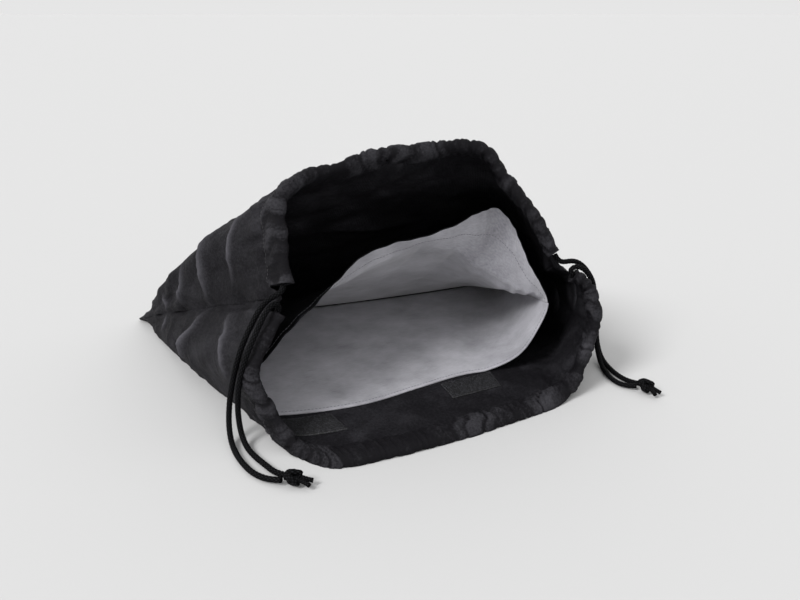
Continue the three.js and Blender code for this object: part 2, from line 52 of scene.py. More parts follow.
camera.rotation_euler = camera_heading.to_track_quat("-Z", "Y").to_euler()
scene.collection.objects.link(camera)
scene.camera = camera

# The free ends of the drawcord
# Round braided polyester cord. Two strands leave the channel at each side seam, and a knot ties
# them together near their ends, with the last centimetre left to fray.
cord_diameter = 0.0046
braid_yarns = 6
braid_pitch = 0.0068
braid_depth = 0.22
braid_sides = 32
braid_step = 0.00045
eased_rounds = 120
cord_routes = {
    "cord_left_outer": [
        (-0.1184, 0.0525, 0.1182), (-0.1189, 0.0512, 0.1148), (-0.1216, 0.0503, 0.1120),
        (-0.1262, 0.0498, 0.1108), (-0.1318, 0.0492, 0.1084), (-0.1376, 0.0476, 0.1036),
        (-0.1433, 0.0456, 0.0964), (-0.1498, 0.0430, 0.0865), (-0.1560, 0.0410, 0.0750),
        (-0.1612, 0.0402, 0.0615), (-0.1647, 0.0400, 0.0485), (-0.1680, 0.0398, 0.0345),
        (-0.1700, 0.0384, 0.0225), (-0.1714, 0.0338, 0.0125), (-0.1718, 0.0255, 0.0050),
        (-0.1715, 0.0150, 0.0028), (-0.1705, 0.0030, 0.0026), (-0.1680, -0.0110, 0.0026),
        (-0.1635, -0.0255, 0.0027), (-0.1560, -0.0370, 0.0031), (-0.1464, -0.0450, 0.0046),
    ],
    "cord_left_inner": [
        (-0.1265, 0.0446, 0.0980), (-0.1241, 0.0454, 0.1012), (-0.1238, 0.0449, 0.1049),
        (-0.1266, 0.0432, 0.1072), (-0.1312, 0.0409, 0.1066), (-0.1360, 0.0382, 0.1024),
        (-0.1410, 0.0354, 0.0955), (-0.1482, 0.0312, 0.0840), (-0.1556, 0.0286, 0.0700),
        (-0.1609, 0.0280, 0.0540), (-0.1636, 0.0284, 0.0375), (-0.1642, 0.0284, 0.0225),
        (-0.1638, 0.0240, 0.0110), (-0.1624, 0.0165, 0.0046), (-0.1606, 0.0070, 0.0028),
        (-0.1574, -0.0050, 0.0026), (-0.1530, -0.0175, 0.0027), (-0.1482, -0.0305, 0.0031),
        (-0.1424, -0.0396, 0.0046),
    ],
    "cord_right_outer": [
        (0.1262, 0.0522, 0.1184), (0.1277, 0.0509, 0.1146), (0.1308, 0.0506, 0.1116),
        (0.1358, 0.0514, 0.1104), (0.1416, 0.0522, 0.1106), (0.1474, 0.0526, 0.1100),
        (0.1532, 0.0526, 0.1072), (0.1592, 0.0528, 0.1020), (0.1652, 0.0538, 0.0950),
        (0.1714, 0.0560, 0.0860), (0.1762, 0.0590, 0.0730), (0.1807, 0.0625, 0.0590),
        (0.1850, 0.0660, 0.0440), (0.1890, 0.0690, 0.0295), (0.1918, 0.0694, 0.0165),
        (0.1925, 0.0650, 0.0072), (0.1910, 0.0560, 0.0034), (0.1885, 0.0450, 0.0027),
        (0.1864, 0.0320, 0.0026), (0.1860, 0.0200, 0.0026), (0.1876, 0.0090, 0.0031),
        (0.1912, -0.0008, 0.0046),
    ],
    "cord_right_inner": [
        (0.1416, 0.0448, 0.0998), (0.1392, 0.0454, 0.1014), (0.1384, 0.0456, 0.1042),
        (0.1412, 0.0453, 0.1069), (0.1464, 0.0447, 0.1073), (0.1522, 0.0444, 0.1045),
        (0.1586, 0.0450, 0.0980), (0.1650, 0.0472, 0.0890), (0.1704, 0.0508, 0.0780),
        (0.1750, 0.0546, 0.0640), (0.1792, 0.0582, 0.0490), (0.1828, 0.0608, 0.0340),
        (0.1852, 0.0612, 0.0195), (0.1860, 0.0576, 0.0090), (0.1844, 0.0506, 0.0040),
        (0.1816, 0.0415, 0.0027), (0.1784, 0.0310, 0.0026), (0.1762, 0.0205, 0.0026),
        (0.1764, 0.0105, 0.0027), (0.1802, 0.0020, 0.0031), (0.1860, -0.0036, 0.0046),
    ],
}


def path_through(points, step):
    """Evenly spaced points on a smooth curve through a few, with its tightest bends eased."""
    points = np.array(points, float)
    ends = [2 * points[0] - points[1]], [2 * points[-1] - points[-2]]
    points = np.vstack((ends[0], points, ends[1]))
    share = np.linspace(0, 1, 25)[:-1, None]
    fine = []
    for p0, p1, p2, p3 in zip(points, points[1:], points[2:], points[3:]):
        fine.append(spline_piece(p0, p1, p2, p3, share))
    fine.append(points[-2][None])
    fine = np.vstack(fine)
    along = np.concatenate(([0], np.cumsum(np.linalg.norm(np.diff(fine, axis=0), axis=1))))
    places = np.linspace(0, along[-1], int(round(along[-1] / step)) + 1)
    path = np.stack([np.interp(places, along, fine[:, k]) for k in range(3)], 1)
    for _ in range(eased_rounds):
        path[1:-1] = 0.25 * path[:-2] + 0.5 * path[1:-1] + 0.25 * path[2:]
    return path


def spline_piece(p0, p1, p2, p3, share):
    """A centripetal spline from p1 to p2."""
    d0, d1, d2 = (np.sqrt(np.linalg.norm(b - a, axis=-1, keepdims=True))
                  for a, b in ((p0, p1), (p1, p2), (p2, p3)))
    t1 = d1 * ((p1 - p0) / d0 - (p2 - p0) / (d0 + d1) + (p2 - p1) / d1)
    t2 = d1 * ((p2 - p1) / d1 - (p3 - p1) / (d1 + d2) + (p3 - p2) / d2)
    return (p1 + t1 * share + (3 * (p2 - p1) - 2 * t1 - t2) * share ** 2
            + (2 * (p1 - p2) + t1 + t2) * share ** 3)


def frames_along(path):
    """Two directions across a path at each of its points, turned as little as can be."""
    tangents = np.gradient(path, axis=0)
    tangents /= np.linalg.norm(tangents, axis=1, keepdims=True)
    side = np.cross(tangents[0], (0.3, 0.5, 0.81))
    sides = []
    for tangent in tangents:
        side = side - tangent * side.dot(tangent)
        side = side / np.linalg.norm(side)
        sides.append(side)
    sides = np.array(sides)
    return sides, np.cross(tangents, sides)


def mesh_piece(name, points, faces, places=None):
    """A mesh piece of the object, facing outwards. places are its points' places on the cloth."""
    mesh = bpy.data.meshes.new(name)
    mesh.from_pydata(points.tolist(), [], [list(face) for face in faces])
    mesh.validate()
    mesh.calc_loop_triangles()
    corners = np.array([t.vertices for t in mesh.loop_triangles])
    a, b, c = (points[corners[:, k]] for k in range(3))
    if np.sum(a * np.cross(b, c)) < 0:
        mesh.flip_normals()
    if places is not None:
        layer = mesh.uv_layers.new(name="cloth")
        loops = np.empty(len(mesh.loops), int)
        mesh.loops.foreach_get("vertex_index", loops)
        layer.data.foreach_set("uv", places[loops].ravel())
    mesh.polygons.foreach_set("use_smooth", np.ones(len(mesh.polygons), bool))
    piece = bpy.data.objects.new(name, mesh)
    scene.collection.objects.link(piece)
    return piece


def point_values(piece, name, values):
    """A value at each point of a piece, for its material to read."""
    layer = piece.data.attributes.new(name, "FLOAT", "POINT")
    layer.data.foreach_set("value", values)


def ring_faces(rings, sides, first=0):
    """Quads between rows of closed rings."""
    faces = []
    for i in range(rings - 1):
        for k in range(sides):
            a = first + i * sides + k
            b = first + i * sides + (k + 1) % sides
            faces.append((a, b, b + sides, a + sides))
    return faces


def tube(path, reach, first=0):
    """Points and faces of a tube closed at both ends. reach holds its radius all round each point
    of the path."""
    across, up = frames_along(path)
    rings, sides = reach.shape
    angle = np.linspace(0, 2 * np.pi, sides, endpoint=False)[None, :]
    ring = np.cos(angle)[..., None] * across[:, None] + np.sin(angle)[..., None] * up[:, None]
    points = (path[:, None] + reach[..., None] * ring).reshape(-1, 3)
    points = np.vstack((points, path[[0, -1]]))
    faces = ring_faces(rings, sides, first)
    last = first + (rings - 1) * sides
    tip = last + sides
    for k in range(sides):
        step = (k + 1) % sides
        faces.append((first + step, first + k, tip))
        faces.append((last + k, last + step, tip + 1))
    return points, faces


def braided_tube(name, path, radius):
    """A cord whose yarns pass over and under each other."""
    along = np.concatenate(([0], np.cumsum(np.linalg.norm(np.diff(path, axis=0), axis=1))))
    angle = np.linspace(0, 2 * np.pi, braid_sides, endpoint=False)[None, :]
    turn = 2 * np.pi * along[:, None] / braid_pitch
    right = np.cos(0.5 * braid_yarns * angle + turn)
    left = np.cos(0.5 * braid_yarns * angle - turn)
    bump = np.sqrt(np.abs(right * left))
    reach = radius * (1 - braid_depth * (1 - bump) + 0.04)
    points, faces = tube(path, reach)
    piece = mesh_piece(name, points, faces)
    # The crown height of each yarn crossing is also the mask of the cord's painted highlight.
    point_values(piece, "crown_highlight", np.append(bump.ravel(), (0.5, 0.5)))
    return piece


def to_linear(code):
    """A colour for a shader from an sRGB hex value."""
    parts = [int(code[k:k + 2], 16) / 255 for k in (1, 3, 5)]
    return [p / 12.92 if p < 0.04045 else ((p + 0.055) / 1.055) ** 2.4 for p in parts] + [1.0]


def add_node(tree, kind, settings=None, **links):
    """A node of a tree with its settings and inputs. An input is a value or another node's output,
    and is named, or numbered from i0."""
    node = tree.nodes.new(kind)
    for key, value in (settings or {}).items():
        setattr(node, key, value)
    for key, value in links.items():
        socket = node.inputs[int(key[1:])] if key[1:].isdigit() else node.inputs[key.replace("_", " ")]
        if isinstance(value, bpy.types.NodeSocket):
            tree.links.new(value, socket)
        else:
            socket.default_value = value
    return node


def new_material(name):
    """An empty material with its shader and output."""
    material = bpy.data.materials.new(name)
    material.use_nodes = True
    tree = material.node_tree
    tree.nodes.clear()
    shader = tree.nodes.new("ShaderNodeBsdfPrincipled")
    output = tree.nodes.new("ShaderNodeOutputMaterial")
    tree.links.new(shader.outputs[0], output.inputs[0])
    return material, tree, shader


def two_tone(tree, value, start, first, end, second):
    """A colour that runs from the first one at a start value to the second one at an end value."""
    ramp = add_node(tree, "ShaderNodeValToRGB", i0=value)
    ramp.color_ramp.elements[0].position = start
    ramp.color_ramp.elements[0].color = to_linear(first)
    ramp.color_ramp.elements[1].position = end
    ramp.color_ramp.elements[1].color = to_linear(second)
    return ramp.outputs[0]


def weighted(tree, value, weight, rest):
    """A value times a weight, added to the rest."""
    return add_node(tree, "ShaderNodeMath", {"operation": "MULTIPLY_ADD"},
                    i0=value, i1=weight, i2=rest).outputs[0]


def braided_polyester(name):
    """Black filament yarn, braided, dull, with a painted highlight on the crown of each crossing."""
    material, tree, shader = new_material(name)
    place = add_node(tree, "ShaderNodeTexCoord").outputs["Object"]
    filaments = add_node(tree, "ShaderNodeTexNoise", Vector=place, Scale=2600.0, Detail=3.0)
    crown_highlight = add_node(tree, "ShaderNodeAttribute", {"attribute_name": "crown_highlight"}).outputs["Fac"]
    # Painted highlight: the colour is lifted where the yarn crowns stand highest.
    painted_highlight = add_node(tree, "ShaderNodeMath", {"operation": "MULTIPLY"}, i0=crown_highlight, i1=filaments.outputs[0])
    painted_highlight_colour = two_tone(tree, painted_highlight.outputs[0], 0.26, "#020202", 0.62, "#2a2a2d")
    bump = add_node(tree, "ShaderNodeBump", Strength=0.5, Distance=0.0002, Height=filaments.outputs[0])
    tree.links.new(painted_highlight_colour, shader.inputs["Base Color"])
    tree.links.new(bump.outputs[0], shader.inputs["Normal"])
    shader.inputs["Roughness"].default_value = 0.6
    shader.inputs["Specular IOR Level"].default_value = 0.03
    return material


cord_finish = braided_polyester("braided_polyester_cord")
knot_shapes = {
    "knot_left": {"centre": (-0.1383, -0.0470, 0.0065), "heading": (0.80, -0.60, 0.0)},
    "knot_right": {"centre": (0.1918, -0.0092, 0.0065), "heading": (0.20, -0.98, 0.0)},
}
knot_half_width = 0.0062
knot_half_length = 0.0075
tail_length = 0.0085
knot_sides = 18


def tied_knot(name, shape):
    """Both strands tied in one overhand knot, with two plain tails that part, as one mesh."""
    centre = np.array(shape["centre"])
    along = np.array(shape["heading"]) / np.linalg.norm(shape["heading"])
    across = np.array((-along[1], along[0], 0.0))
    up = np.array((0.0, 0.0, 1.0))
    parts = []
    turn = np.linspace(0, 2 * np.pi, 90, endpoint=False)[:, None]
    strand = 0.42 * cord_diameter
    wide = knot_half_width - strand
    long = knot_half_length - strand
    for phase, lean in ((0.0, 1.0), (2.2, -0.8)):
        loop = (centre + across * wide * np.cos(turn + phase) + up * wide * np.sin(turn + phase) * 0.93
                + along * long * 0.82 * lean * np.sin(2 * turn + phase))
        parts.append((np.vstack((loop, loop[:1])), strand))
    bend = np.linspace(-1, 1, 40)[:, None]
    for side in (-1.0, 1.0):
        core = centre + along * long * bend + across * side * 0.0017 * (1 - 0.2 * bend)
        parts.append((core, strand * 1.1))
        tail = np.linspace(0, 1, 26)[:, None]
        tail = (centre + along * (knot_half_length * 0.75 + tail_length * tail)
                + across * side * (0.0019 + 0.0016 * tail ** 2) - up * 0.0022 * tail)
        parts.append((tail, strand * 0.95))
    points, faces, crown_highlights, count = [], [], [], 0
    angle = np.linspace(0, 2 * np.pi, knot_sides, endpoint=False)[None, :]
    for path, radius in parts:
        run = np.arange(len(path))[:, None]
        bump = np.sqrt(np.abs(np.cos(2 * angle + 0.55 * run) * np.cos(2 * angle - 0.55 * run)))
        reach = radius * (1.02 - 0.12 * (1 - bump))
        part_points, part_faces = tube(path, reach, count)
        points.append(part_points)
        faces += part_faces
        # The crown heights of the knot's yarns, the mask of its painted highlight.
        crown_highlights.append(np.append(bump.ravel(), (0.3, 0.3)))
        count += len(part_points)
    knot = mesh_piece(name, np.vstack(points), faces)
    point_values(knot, "crown_highlight", np.concatenate(crown_highlights))
    return knot


knots = {}
for name, shape in knot_shapes.items():
    knot = tied_knot(name + "_tied", shape)
    knot.data.materials.append(cord_finish)
    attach(knot, "root")
    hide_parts(name)
    knots[name] = knot

for name, route in cord_routes.items():
    path = path_through(route, braid_step)
    strand = braided_tube(name + "_braid", path, 0.5 * cord_diameter)
    strand.data.materials.append(cord_finish)
    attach(strand, "root")
    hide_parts(name)
    knot = knots["knot_left" if "left" in name else "knot_right"]

# The cloth shell
# Two panels of coated black polyester, sewn together at the side seams and the bottom and turned
# right side out. The lower one lies on the floor and the upper one sags from the stiff mouth.
bag_width = 0.450
bag_length = 0.330
mouth_rise = 0.221
cloth_wall = 0.0016
seam_gap = 0.0003
seam_fold = 0.0004
bottom_bow = 0.05
seam_groove = 0.004
settle_height = 0.0005
corner_turn = 0.0025
hem_width = 0.024
hem_seam = 0.0006
side_seams = (0, 14, 24)
seam_pinch_rows = 0.26
# x, y and z of the lip and its foot on the bottom seam, as shares of the sizes, and its puff
mouth_rows = [
    (-0.272, 0.127, 0.507, -0.500, 0.030),
    (-0.314, 0.094, 0.380, -0.492, 0.030),
    (-0.343, 0.061, 0.250, -0.485, 0.035),
    (-0.322, 0.027, 0.122, -0.478, 0.045),
    (-0.288, -0.030, 0.020, -0.468, 0.040),
    (-0.233, -0.112, 0.000, -0.445, 0.000),
    (-0.133, -0.118, 0.000, -0.290, 0.000),
    (-0.022, -0.101, 0.000, -0.080, 0.000),
    (0.100, -0.070, 0.000, 0.145, 0.000),
    (0.211, -0.033, 0.000, 0.350, 0.000),
    (0.280, 0.003, 0.030, 0.460, 0.030),
    (0.325, 0.033, 0.140, 0.474, 0.040),
    (0.355, 0.066, 0.280, 0.483, 0.035),
    (0.351, 0.100, 0.410, 0.492, 0.030),
    (0.298, 0.127, 0.511, 0.500, 0.030),
    (0.251, 0.176, 0.692, 0.492, 0.035),
    (0.196, 0.212, 0.848, 0.482, 0.050),
    (0.158, 0.242, 0.972, 0.450, 0.060),
    (0.110, 0.255, 1.000, 0.320, 0.065),
    (0.000, 0.249, 0.982, 0.060, 0.060),
    (-0.133, 0.242, 0.950, -0.240, 0.060),
    (-0.216, 0.230, 0.910, -0.440, 0.085),
    (-0.259, 0.209, 0.824, -0.482, 0.080),
    (-0.264, 0.170, 0.670, -0.492, 0.050),
]
# From row, to row, from station, to station, rise and width
creases = [
    (21.2, 24.0, 0.33, 0.40, 0.018, 0.050),
    (21.6, 24.0, 0.50, 0.55, 0.012, 0.045),
    (0.0, 3.0, 0.38, 0.52, 0.015, 0.050),
    (1.5, 4.0, 0.62, 0.40, -0.012, 0.050),
    (14.0, 17.0, 0.42, 0.34, 0.010, 0.050),
    (11.0, 14.0, 0.36, 0.50, 0.010, 0.050),
    (18.0, 21.0, 0.52, 0.46, -0.016, 0.090),
]
fine_creases = [
    (21.0, 23.7, 0.19, 0.25, 0.008, 0.032),
    (22.2, 24.0, 0.71, 0.68, 0.007, 0.030),
    (0.2, 2.6, 0.24, 0.15, 0.008, 0.034),
    (0.0, 2.0, 0.67, 0.74, 0.007, 0.030),
    (3.0, 5.4, 0.10, 0.16, 0.006, 0.034),
    (11.8, 13.8, 0.22, 0.16, 0.007, 0.034),
]
crease_rise = 1.3
crease_width = 0.38
# Puckers by the hem, long folds, and the height, pitch and seed of creases from handling
pucker_height = 0.0026
pucker_pitch = 0.021
pucker_start = 0.004
pucker_reach = 0.035
fold_height = 0.0015
fold_pitch = 0.052
handling_creases = ((0.0055, 0.10, 5), (0.0030, 0.05, 8))
mean_crumple = 0.25
floor_rows = (4.2, 9.8)
flattened = 0.80
tongue_half = 0.24
tongue_length = 0.6
mouth_axis = np.array((0.0, 0.93, -0.37)) / np.hypot(0.93, 0.37)


def make_shell(rows, floor, end, tip, right_row):
    """A table of sections round a mouth, with the sizes that its shares are of."""
    rows = np.array(rows, float)
    lip = rows[:, :3] * (bag_width, bag_length, mouth_rise - floor) + (0, 0, floor)
    return {"lip": lip, "rows": rows, "floor": floor, "end": end, "tip": tip, "right_row": right_row}


def lip_at(shell, row):
    """Points of the closed mouth curve."""
    lip = shell["lip"]
    whole = np.floor(row).astype(int)
    near = [lip[(whole + k) % len(lip)] for k in (-1, 0, 1, 2)]
    return spline_piece(*near, (row - whole)[..., None])


def column(shell, index, row):
    """A table's column between its rows, smoothly."""
    values = shell["rows"][:, index]
    whole = np.floor(row).astype(int)
    share = row - whole
    share = share * share * (3 - 2 * share) * 0.5 + share * 0.5
    return values[whole % len(values)] * (1 - share) + values[(whole + 1) % len(values)] * share


def unit(vectors):
    """Vectors of the same headings with a length of one."""
    return vectors / np.linalg.norm(vectors, axis=-1, keepdims=True)


def lip_heading(shell, row):
    """A short step along the lip."""
    return lip_at(shell, row + 0.002) - lip_at(shell, row - 0.002)


def inward_at(shell, row, station):
    """The direction from the cloth into the bag."""
    at_lip = unit(np.cross(lip_heading(shell, row), mouth_axis))
    at_seam = unit(at_lip * (1, 0, 1))
    inward = unit(at_lip + (at_seam - at_lip) * station[..., None])
    return unit(inward + (inward_at_bottom(shell, row) - inward) * station[..., None] ** 6)


def inward_at_bottom(shell, row):
    """Along the bottom seam each layer faces the other, and at its corners the cloth turns round."""
    foot = column(shell, 3, row)
    from_corner = (abs(shell["rows"][0, 3]) - np.abs(foot)) * bag_width
    turned = np.exp(-(from_corner / corner_turn) ** 2)
    up = np.sqrt(1 - turned ** 2) * np.where(row % len(shell["rows"]) < shell["right_row"], 1, -1)
    return np.stack((-np.sign(foot) * turned, 0 * foot, up), -1)


def foot_at(shell, row, depth):
    """The end of a grain line on the bottom seam."""
    foot = column(shell, 3, row)
    side = np.minimum(1, np.abs(2 * foot))
    inward = inward_at(shell, row, np.ones_like(row))
    y = bag_length * (shell["end"] - bottom_bow * (1 - side * side))
    centre = np.stack((foot * bag_width, y, np.full_like(y, shell["floor"] + shell["tip"])), -1)
    return centre + inward * (depth - shell["tip"])[..., None]


def settled(height):
    """Cloth just above a surface lies flat on it."""
    return np.where(height < settle_height, 0, np.minimum(height, 1.5 * (height - settle_height)))


def waves(length, pitch, seed):
    """An uneven wave along a length, from -1 to 1."""
    dice = np.random.default_rng(seed)
    total = 0
    for share in (0.62, 0.85, 1.0, 1.37, 1.9):
        phase = dice.uniform(0, 2 * np.pi)
        wander = 1.3 * np.sin(2 * np.pi * length / (pitch * 6.3 * share) + dice.uniform(0, 6))
        total = total + np.sin(2 * np.pi * length / (pitch * share) + phase + wander)
    return total / 3.2


def crumple(u, v, pitch, seed):
    """Shallow creases that cross in all directions, from 0 to 1, sharpest at their tops."""
    dice = np.random.default_rng(seed)
    total = 0
    for _ in range(4):
        heading = dice.uniform(0, np.pi)
        size = pitch * dice.uniform(0.7, 1.8)
        bend = 0.9 * np.sin(2 * np.pi * (v * np.cos(heading) - u * np.sin(heading)) / (2.3 * size))
        line = 2 * np.pi * (u * np.cos(heading) + v * np.sin(heading)) / size + bend
        total = total + (1 - np.abs(np.sin(0.5 * line + dice.uniform(0, 6)))) ** 3
    return total / 4


bag = make_shell(mouth_rows, 0.0, 1.0, cloth_wall + seam_fold, 14)
around = np.linspace(0, len(mouth_rows), 2401)
lip_steps = np.linalg.norm(np.diff(lip_at(bag, around), axis=0), axis=1)
lip_lengths = np.concatenate(([0], np.cumsum(lip_steps)))


def lip_length(row):
    """Distance along the lip from the left cord exit."""
    return np.interp(row, around, lip_lengths)


def crease_ridge(row, station, line):
    """Height of one crease, from 0 to 1: a straight ridge that fades out at both ends."""
    start, end, front, back, _, width = line
    along = (row - start) / (end - start)
    offset = (station - (front + (back - front) * along)) / (crease_width * width)
    fade = np.sin(np.pi * np.clip(along, 0, 1))
    return np.where((along > 0) & (along < 1), fade * np.exp(-np.abs(offset) ** 1.2), 0)


def painted_crest_shading(row, station):
    """Painted highlight along the ridges of the rising creases, from 0 to 1."""
    total = 0
    for line in creases + fine_creases:
        total = total + np.where(line[4] > 0, crease_ridge(row, station, line) ** 2, 0)
    return np.clip(total, 0, 1)


def bag_relief(row, station):
    """How far the cloth stands out of its straight grain lines."""
    shape = 4 * station * (1 - station) * (0.6 + 0.8 * station)
    relief = column(bag, 4, row) * mouth_rise * shape
    length = lip_length(row)
    for seam_row in side_seams:
        offset = (row - seam_row) / seam_pinch_rows
        pinch = 1 + 0.55 * np.sin(34 * station) + 0.25 * np.sin(91 * station)
        fade = np.sin(np.pi * np.sqrt(np.minimum(1, station / 0.9)))
        relief = relief - seam_groove * pinch * np.exp(-offset ** 2) * fade
    for line in creases + fine_creases:
        relief = relief + crease_rise * line[4] * bag_length * crease_ridge(row, station, line)
    return relief + wrinkles(row, station, length)


def wrinkles(row, station, length):
    """Puckers that run back from the gathered hem, and creases from folding and handling."""
    lying = np.clip(np.minimum(row - floor_rows[0], floor_rows[1] - row) / 0.8, 0, 1)
    back = station * bag_length - hem_width
    pucker = pucker_height * waves(length, pucker_pitch, 3)
    pucker = pucker * np.exp(-(back / pucker_reach) ** 2) * np.clip(back / pucker_start, 0, 1)
    spread = length * (1 - 0.35 * station)
    creased = fold_height * waves(spread, fold_pitch, 11) * np.sin(np.pi * np.clip(station, 0, 1)) ** 0.8
    for height, pitch, seed in handling_creases:
        crumpled = crumple(length, station * bag_length, pitch, seed)
        creased = creased + height * (crumpled - mean_crumple)
    fade = np.clip((1 - station) / 0.08, 0, 1)
    return (1 - flattened * lying) * (pucker + fade * creased)


def bag_point(row, station, depth):
    """Points of the bag's cloth at rows, stations from lip to bottom seam, and depths."""
    row, station, depth = np.broadcast_arrays(row, station, depth)
    inward = inward_at(bag, row, station)
    lip = lip_at(bag, row) + inward * depth[..., None]
    point = lip + (foot_at(bag, row, depth) - lip) * station[..., None]
    point = point - inward * bag_relief(row, station)[..., None]
    return laid_down(point, inward, depth, 0.0)


def laid_down(point, inward, depth, floor):
    """Cloth of the lower layer, pressed flat where it reaches the surface below it."""
    lowest = floor + depth * inward[..., 2]
    height = lowest + settled(point[..., 2] - lowest)
    point[..., 2] = np.where(inward[..., 2] > 0, height, point[..., 2])
    return point


def sheet_piece(name, outer, inner, places):
    """A closed sheet between two grids of points."""
    rows, count = outer.shape[:2]
    points = np.vstack((outer.reshape(-1, 3), inner.reshape(-1, 3)))
    index = np.arange(rows * count).reshape(rows, count)
    faces = []
    back = rows * count
    a, b, c, d = index[:-1, :-1], index[:-1, 1:], index[1:, 1:], index[1:, :-1]
    faces += np.stack((a, b, c, d), -1).reshape(-1, 4).tolist()
    faces += (np.stack((a, d, c, b), -1).reshape(-1, 4) + back).tolist()
    rim = np.concatenate((index[0], index[1:, -1], index[-1, -2::-1], index[-2:0:-1, 0]))
    turn = np.roll(rim, -1)
    faces += np.stack((rim, rim + back, turn + back, turn), -1).tolist()
    return mesh_piece(name, points, faces, np.vstack((places, places)))


def seam_shift(shell, row, station, points, distance):
    """Points moved along the lip at a side seam, to part two layers or to close them."""
    inward = inward_at(shell, row, station)
    along = lip_heading(shell, row)
    along = unit(along - inward * np.sum(along * inward, -1, keepdims=True))
    return points + along * distance


def bag_panel(name, start, end, rows, count):
    """One panel, from the hem's stitched edge to the bottom seam. A tongue of it runs on between
    the ends of the channel at each side seam, behind the cords."""
    row = (start + (end - start) * np.linspace(0, 1, rows))[:, None]
    seam = np.min(np.abs(row - np.array(side_seams)), axis=1, keepdims=True)
    tongue = np.sqrt(np.clip(1 - seam / tongue_half, 0, 1))
    front = (hem_width * (1 - tongue_length * tongue) + hem_seam) / bag_length
    station = front + (1 - front) * np.linspace(0, 1, count)[None, :] ** 1.05
    row, station = np.broadcast_arrays(row, station)
    faces = []
    for depth in (0.0, cloth_wall):
        points = bag_point(row, station, np.array(depth))
        points[0] = seam_shift(bag, row[0], station[0], points[0], -0.2 * seam_gap)
        points[-1] = seam_shift(bag, row[-1], station[-1], points[-1], 0.2 * seam_gap)
        faces.append(points)
    places = np.stack((lip_length(row), station * bag_length), -1).reshape(-1, 2)
    panel = sheet_piece(name, faces[0], faces[1], places)
    # Painted highlight along the crease ridges, for the material to read.
    point_values(panel, "painted_crest_shading", np.tile(painted_crest_shading(row, station).ravel(), 2))
    return panel


def coated_polyester(name, dark, light, drawn_up=0.0):
    """Plain-woven filament polyester, coated inside. Dull black with random paler patches, plus painted
    highlights on crease ridges and painted shade in hem creases.
    The real thread is 0.3 mm, too fine for the picture, and drawn coarser."""
    material, tree, shader = new_material(name)
    cloth = add_node(tree, "ShaderNodeUVMap", {"uv_map": "cloth"}).outputs[0]
    place = add_node(tree, "ShaderNodeTexCoord").outputs["Object"]
    threads = []
    for direction in ("X", "Y"):
        wave = add_node(tree, "ShaderNodeTexWave", {"bands_direction": direction}, Vector=cloth,
                        Scale=math.pi * 0.1 / drawn_thread, Distortion=0.6, Detail=1.0, Detail_Scale=2.0)
        threads.append(wave.outputs["Fac"])
    weave = add_node(tree, "ShaderNodeMath", {"operation": "MAXIMUM"}, i0=threads[0], i1=threads[1])
    grain = add_node(tree, "ShaderNodeTexNoise", Vector=place, Scale=520.0, Detail=5.0, Roughness=0.8)
    handled = add_node(tree, "ShaderNodeTexNoise", Vector=place, Scale=16.0, Detail=6.0, Roughness=0.6)
    creased = add_node(tree, "ShaderNodeTexNoise", {"noise_type": "RIDGED_MULTIFRACTAL"}, Vector=place,
                       Scale=34.0, Detail=4.0, Roughness=0.55)
    painted_crest_shading = add_node(tree, "ShaderNodeAttribute", {"attribute_name": "painted_crest_shading"}).outputs["Fac"]
    uneven = add_node(tree, "ShaderNodeMapRange", Value=handled.outputs[0], To_Min=0.25, To_Max=0.75)
    # Painted highlights along the ridges of the crease noise and along the cloth's crease ridges, and on
    # the hem painted shade in its creases; the other noises vary the tone at random.
    tone_and_painted_shading = weighted(tree, creased.outputs[0], 0.30, uneven.outputs[0])
    tone_and_painted_shading = weighted(tree, grain.outputs[0], 0.8, tone_and_painted_shading)
    tone_and_painted_shading = weighted(tree, painted_crest_shading, 0.9, tone_and_painted_shading)
    pale = add_node(tree, "ShaderNodeMapRange", Value=tone_and_painted_shading, From_Min=0.85, From_Max=2.1)
    tree.links.new(two_tone(tree, pale.outputs[0], 0.0, dark, 1.0, light), shader.inputs["Base Color"])
    fine = add_node(tree, "ShaderNodeBump", Strength=0.7, Distance=0.0005, Height=weave.outputs[0])
    coarse = add_node(tree, "ShaderNodeBump", Strength=0.45, Distance=0.0008, Height=grain.outputs[0],
                      Normal=fine.outputs[0])
    folds = add_node(tree, "ShaderNodeBump", Strength=0.9, Distance=0.0030, Height=creased.outputs[0],
                     Normal=coarse.outputs[0])
    stretched = add_node(tree, "ShaderNodeMapping", Vector=cloth)
    stretched.inputs["Scale"].default_value = (190.0, 34.0, 1.0)
    tucks = add_node(tree, "ShaderNodeTexNoise", {"noise_type": "RIDGED_MULTIFRACTAL"},
                     Vector=stretched.outputs[0], Scale=1.0, Detail=3.0, Roughness=0.5)
    gathered = add_node(tree, "ShaderNodeBump", Strength=drawn_up, Distance=0.004,
                        Height=tucks.outputs[0], Normal=folds.outputs[0])
    tree.links.new(gathered.outputs[0], shader.inputs["Normal"])
    dull = add_node(tree, "ShaderNodeMapRange", Value=handled.outputs[0], To_Min=0.55, To_Max=0.75)
    tree.links.new(dull.outputs[0], shader.inputs["Roughness"])
    shader.inputs["Specular IOR Level"].default_value = 0.08
    return material


drawn_thread = 0.0011
shell_finish = coated_polyester("coated_black_polyester", "#131215", "#5f5e64")
shell_panels = {"lower_panel": (0, 14, 260, 150), "upper_panel": (14, 24, 190, 150)}
for name, (start, end, rows, count) in shell_panels.items():
    panel = bag_panel(name + "_cloth", start, end, rows, count)
    panel.data.materials.append(shell_finish)
    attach(panel, "root")
    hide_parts(name)

# The drawcord channel
# The lip is turned in and stitched down to a channel 24 mm wide, drawn up by the cord into uneven
# gathers. It is open at both side seams, where the cords come out.
hem_wall = 0.0011
girth_step = 0.0025
hem_thickness = cord_diameter + 2 * (0.0005 + hem_wall)
gather_height = 0.0042
bulge_pitch = 0.034
tuck_pitch = 0.019
drawing_pitch = 0.11
exit_above = 0.30
exit_below = 0.34
